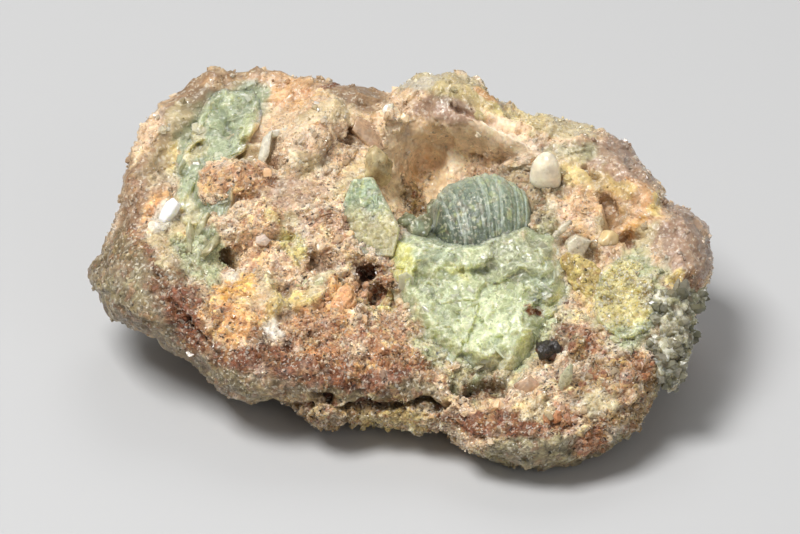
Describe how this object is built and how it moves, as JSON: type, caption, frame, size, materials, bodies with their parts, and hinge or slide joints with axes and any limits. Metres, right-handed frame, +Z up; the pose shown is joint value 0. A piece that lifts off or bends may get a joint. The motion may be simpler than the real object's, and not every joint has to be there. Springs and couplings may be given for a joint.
{
  "type": "prehnite specimen",
  "caption": "Hand specimen of pale green prehnite: a ribbed fan and blocky crystals in the open vug of a weathered rust-brown rock, with glassy crystals along one edge.",
  "frame": {"origin": "middle of the footprint's box, on the surface that the specimen rests on", "axes": "+X to the right along the specimen's length as it is displayed, +Y towards its back, +Z up"},
  "size_m": [0.0758, 0.0528, 0.0292],
  "materials": {
    "matrix_rock": "rough, weathered",
    "prehnite": "waxy to glassy, translucent",
    "yellow_green_crust": "granular, translucent",
    "colourless_crystal": "glassy",
    "cream_crystal": "glassy, milky",
    "black_mineral": "shiny, broken"
  },
  "bodies": {
    "root": {"matrix": "matrix_rock", "prehnite_cluster": "prehnite", "prehnite_in_hollow": "prehnite", "prehnite_crust": "yellow_green_crust", "edge_druse": "colourless_crystal", "pale_crystal": "cream_crystal", "vug_crystal": "cream_crystal", "white_crystal": "colourless_crystal", "clear_crystal": "colourless_crystal", "front_blade": "cream_crystal", "black_grain": "black_mineral"}
  },
  "joints": []
}
